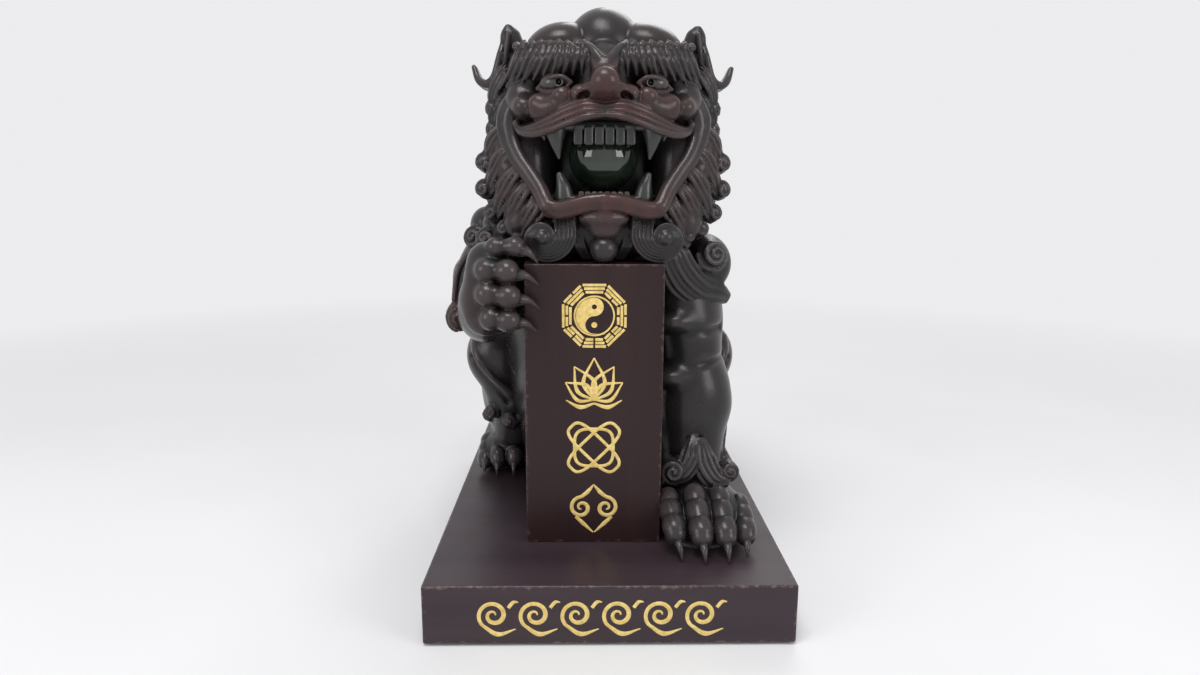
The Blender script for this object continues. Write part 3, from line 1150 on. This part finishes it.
def lotus_strokes():
    """An open lotus on a curved stem leaf."""
    strokes = []
    for lean, length, width in ((0, 18.5, 4.6), (30, 17, 4.2), (58, 14.5, 3.8)):
        for side in (-1, 1) if lean else (1,):
            turn = math.radians(-side * lean)
            for edge in (-1, 1):
                petal = curve([(0, 0), (edge * width, 0.42 * length), (0, length)], 14)
                x = petal[:, 0] * math.cos(turn) - petal[:, 1] * math.sin(turn)
                y = petal[:, 0] * math.sin(turn) + petal[:, 1] * math.cos(turn) - 7.5
                strokes.append((np.stack([x, y], 1), (1.0, 2.3, 0.7)))
    for side in (-1, 1):
        strokes.append((curve([(0, -9), (side * 6, -10.6), (side * 12, -7.6)], 12), (1.2, 2.6, 0.6)))
    return strokes


def knot_strokes():
    """Two long loops that cross, woven with a square one."""
    t = np.linspace(0, 2 * math.pi, 90)
    strokes = []
    for turn, long, short, power in ((45, 13.6, 4.8, 0.6), (-45, 13.6, 4.8, 0.6), (0, 8.4, 8.4, 0.55)):
        x = long * np.sign(np.cos(t)) * np.abs(np.cos(t)) ** power
        y = short * np.sign(np.sin(t)) * np.abs(np.sin(t)) ** power
        c, s = math.cos(math.radians(turn)), math.sin(math.radians(turn))
        strokes.append((np.stack([x * c - y * s, x * s + y * c], 1), (1.8, 1.8)))
    return strokes


def cloud_strokes():
    """A cloud head: two scrolls that meet in a point above and below."""
    strokes = []
    for side in (-1, 1):
        spiral = scroll((side * 5.4, 0.6), 5.0, 1.5, math.pi / 2, -side)
        strokes.append((spiral[::-1], (0.9, 2.4, 2.1)))
        head = curve([(side * 5.4, 5.6), (side * 2.6, 8.0), (0, 11.2)], 10)
        foot = curve([(side * 8, -3.6), (side * 4.6, -6.8), (0.3 * side, -11)], 10)
        strokes += [(head, (2.1, 2.5, 0.8)), (foot, (1.8, 2.5, 0.8))]
    return strokes


def band_strokes():
    """A row of six curling clouds, each with a long tail."""
    strokes = []
    for k in range(6):
        x = (k - 2.5) * 16.6
        outer = scroll((x - 0.6, 1.0), 6.2, 1.6, -math.pi * 0.75, -1)
        strokes.append((outer[::-1], (0.8, 2.6, 2.0)))
        tail = curve([(x - 5.0, -3.4), (x + 1.0, -7.2), (x + 8.2, -5.0)], 12)
        strokes.append((tail, (1.8, 2.8, 0.6)))
        strokes.append((curve([(x + 5.4, 4.2), (x + 7.4, 6.6), (x + 9.4, 6.6)], 10), (2.0, 2.0, 0.6)))
    return strokes


def emblem_piece():
    """The turning pair of drops in a ring, with the eight three-line signs round it."""
    drawing = bpy.data.curves.new("emblem", "CURVE")
    drawing.dimensions = "2D"
    drawing.fill_mode = "BOTH"
    drawing.extrude = 0.1 * MM
    drawing.bevel_depth = 0.08 * MM

    def loop(points):
        spline = drawing.splines.new("POLY")
        spline.points.add(len(points) - 1)
        for target, (x, y) in zip(spline.points, points):
            target.co = (x * MM, y * MM, 0, 1)
        spline.use_cyclic_u = True

    def arc(height, radius, first, last, count):
        angle = np.radians(np.linspace(first, last, count))
        return [(radius * math.cos(a), height + radius * math.sin(a)) for a in angle]

    ring = 8.6
    drop = 7.7
    for radius in (ring, ring - 0.55):
        loop(arc(0, radius, 0, 357, 90))
    half = drop / 2
    comma = arc(0, drop, 90, 270, 60)
    comma += arc(-half, half, 270, 90, 30)[1:] + arc(half, half, -90, 90, 30)[1:-1]
    loop(comma)
    for height in (half, -half):
        loop(arc(height, 1.15, 0, 345, 24))
    signs = {90: "111", 135: "110", 180: "101", 225: "100", 270: "000", 315: "001", 0: "010", 45: "011"}
    for angle, lines in signs.items():
        turn = math.radians(angle)
        out = np.array((math.cos(turn), math.sin(turn)))
        along = np.array((-out[1], out[0]))
        for level, whole in enumerate(lines):
            inner = 9.6 + 1.5 * level
            half_length = (inner + 0.5) * math.tan(math.pi / 8) - 0.55
            outer = inner + 0.95
            spans = [(-half_length, -0.5), (0.5, half_length)]
            if whole == "1":
                spans = [(-half_length, half_length)]
            for a, b in spans:
                loop([out * r + along * s for r, s in ((inner, a), (inner, b), (outer, b), (outer, a))])
    sketch = bpy.data.objects.new("emblem_sketch", drawing)
    mesh = bpy.data.meshes.new_from_object(sketch)
    bpy.data.objects.remove(sketch)
    place = Vector((STELE_MIDDLE, STELE_FRONT - 0.1, 127.7)) * MM
    mesh.transform(Matrix.Translation(place) @ Matrix.Rotation(math.pi / 2, 4, "X"))
    obj = bpy.data.objects.new("gold_emblem", mesh)
    bpy.context.scene.collection.objects.link(obj)
    return obj


# Studio
def seen_ray(nodes, links):
    """One for what is seen straight, in a mirror or through glass, and nought for what only gives light."""
    path = nodes.new("ShaderNodeLightPath")
    value = path.outputs["Is Camera Ray"]
    for name in ("Is Glossy Ray", "Is Transmission Ray"):
        node = nodes.new("ShaderNodeMath")
        node.operation = "MAXIMUM"
        links.new(value, node.inputs[0])
        links.new(path.outputs[name], node.inputs[1])
        value = node.outputs["Value"]
    return value


def studio():
    bpy.ops.mesh.primitive_plane_add(size=8)
    floor = bpy.context.object
    floor.name = "floor"
    paint = Paint("floor_paper")
    white = (0.84, 0.84, 0.855)
    cloud = paint.noise(6, 2)
    paint.feed("Base Color", paint.ramp(cloud, (0.3, (0.8, 0.8, 0.81)), (0.7, (0.83, 0.83, 0.84))))
    paint.set(Roughness=0.9)
    # Far from the statue, the floor as it is seen runs out into the white of the backdrop
    seen = seen_ray(paint.nodes, paint.links)
    reach = paint.nodes.new("ShaderNodeVectorMath")
    reach.operation = "LENGTH"
    paint.links.new(paint.place, reach.inputs[0])
    far = paint.math("MULTIPLY", paint.span(reach.outputs["Value"], 0.25, 0.95), seen)
    glow = paint.nodes.new("ShaderNodeEmission")
    glow.inputs["Color"].default_value = (*white, 1)
    blend = paint.nodes.new("ShaderNodeMixShader")
    paint.links.new(far, blend.inputs[0])
    paint.links.new(paint.shader.outputs["BSDF"], blend.inputs[1])
    paint.links.new(glow.outputs["Emission"], blend.inputs[2])
    paint.links.new(blend.outputs["Shader"], paint.nodes["Material Output"].inputs["Surface"])
    floor.data.materials.append(paint.material)

    world = bpy.data.worlds.new("studio")
    bpy.context.scene.world = world
    world.use_nodes = True
    nodes = world.node_tree.nodes
    links = world.node_tree.links
    background = nodes["Background"]
    background.inputs["Color"].default_value = (*white, 1)
    strength = nodes.new("ShaderNodeMapRange")
    strength.inputs["To Min"].default_value = 0.45
    strength.inputs["To Max"].default_value = 1.0
    links.new(seen_ray(nodes, links), strength.inputs["Value"])
    links.new(strength.outputs["Result"], background.inputs["Strength"])

    for name, place, size, power in (
        ("ceiling_light", (-0.2, -0.5, 1.3), 0.55, 7.4),
        ("side_left", (-0.75, -0.6, 0.4), 0.45, 2.3),
        ("side_right", (0.75, -0.6, 0.4), 0.45, 2.6),
        ("lamp_left", (-0.12, -0.62, 1.05), 0.09, 0.9),
        ("lamp_right", (0.12, -0.62, 1.05), 0.09, 0.9),
        ("back_light", (0.3, 0.9, 1.1), 0.7, 4.4),
    ):
        lamp = bpy.data.lights.new(name, "AREA")
        lamp.size = size
        lamp.energy = power
        obj = bpy.data.objects.new(name, lamp)
        obj.location = place
        aim = Vector((0, 0, 0.13)) - obj.location
        obj.rotation_euler = aim.to_track_quat("-Z", "Y").to_euler()
        bpy.context.scene.collection.objects.link(obj)


def camera():
    """The photograph's own viewpoint."""
    place = Vector((-9.6, -407.2, 181.6)) * MM
    yaw, pitch, roll = [math.radians(a) for a in (0.97, 10.75, 0.29)]
    ahead = Vector((math.sin(yaw) * math.cos(pitch), math.cos(yaw) * math.cos(pitch), -math.sin(pitch)))
    right = ahead.cross(Vector((0, 0, 1))).normalized()
    up = right.cross(ahead)
    across = right * math.cos(roll) + up * math.sin(roll)
    above = up * math.cos(roll) - right * math.sin(roll)
    lens = bpy.data.cameras.new("camera")
    lens.sensor_width = 36
    lens.lens = 24.0
    lens.clip_start = 0.01
    obj = bpy.data.objects.new("camera", lens)
    obj.matrix_world = Matrix((
        (across.x, above.x, -ahead.x, place.x), (across.y, above.y, -ahead.y, place.y),
        (across.z, above.z, -ahead.z, place.z), (0, 0, 0, 1),
    ))
    bpy.context.scene.collection.objects.link(obj)
    bpy.context.scene.camera = obj


casting = casting_paint()
gold = gold_paint()
teeth = tooth_paint()
carved = (
    (head_piece, "head"), (jaw_piece, "lower_jaw"), (tongue_piece, "tongue"), (beard_piece, "beard"),
    (mane_piece, "mane"), (torso_piece, "torso"), (standing_leg_piece, "standing_foreleg"),
    (raised_leg_piece, "raised_foreleg"), (tail_piece, "tail"),
)
for make, node in carved:
    dress(make(), casting, [node])
for name, node, side in (("lion_ear_left", "ear_left", 1), ("lion_ear_right", "ear_right", -1)):
    dress(ear_piece(name, side), casting, [node])
for name, node, side in (
    ("hind_leg_left_carved", "hind_leg_left", 1), ("hind_leg_right_carved", "hind_leg_right", -1),
):
    dress(hind_leg_piece(name, side), casting, [node])
dress(eyes_piece(), eye_paint(), ["eyes"])
dress(upper_teeth_piece(), teeth, ["upper_teeth"])
dress(lower_teeth_piece(), teeth, ["lower_teeth"])
# Polished dark green stone, cloudy in its depth
stone = grained_paint(
    "ball_stone", (70, 5), (0.006, 0.011, 0.007), (0.022, 0.032, 0.021),
    Roughness=0.06, IOR=1.55, Coat_Weight=0.3, Coat_Roughness=0.03,
)
dress(ball_piece(), stone, ["mouth_ball"], "ball")
upright, level = (1, 1, 0.08), (0.08, 1, 1)
stele_lacquer = lacquer_paint("stele", 0.35, upright, (0.0155, 0.0062, 0.0068), (0.029, 0.0115, 0.0122))
plinth_lacquer = lacquer_paint("plinth", 0.8, level, (0.029, 0.019, 0.024), (0.047, 0.031, 0.038))
dress(slab_piece("stele_board", "stele", 0.5, STELE_FRONT), stele_lacquer, ["stele"])
dress(slab_piece("plinth_block", "plinth", 0.9, PLINTH_FRONT), plinth_lacquer, ["plinth"])

dress(emblem_piece(), gold)
for name, strokes, centre, front in (
    ("gold_lotus", lotus_strokes(), (STELE_MIDDLE, 98.6), STELE_FRONT),
    ("gold_knot", knot_strokes(), (STELE_MIDDLE, 69.8), STELE_FRONT),
    ("gold_cloud_head", cloud_strokes(), (STELE_MIDDLE, 41.6), STELE_FRONT),
    ("gold_cloud_band", band_strokes(), (-4.4, 12.6), PLINTH_FRONT),
):
    dress(gold_piece(name, strokes, centre, front), gold)

# The nodes that keep their own meshes
felt = grained_paint(
    "felt", (2600, 6, 0.7), (0.008, 0.011, 0.009), (0.03, 0.036, 0.032), (0.6, 0.0006),
    Roughness=0.95, Sheen_Weight=0.3,
)
wood = grained_paint(
    "dowel_wood", (260, 6, 0.6, (1, 1, 0.06)), (0.36, 0.22, 0.11), (0.56, 0.4, 0.22), (0.25, 0.0004),
    Roughness=0.6,
)
for material, names in (
    (felt, ("base_felt",)),
    (wood, ("stele_dowels", "neck_dowel", "leg_dowels", "tail_dowel")),
    (steel_paint(), ("screw_washers", "fixing_screws", "jaw_pins")),
):
    for name in names:
        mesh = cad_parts[name].data
        mesh.materials.clear()
        mesh.materials.append(material)

studio()
camera()
bpy.context.scene.view_settings.view_transform = "Standard"
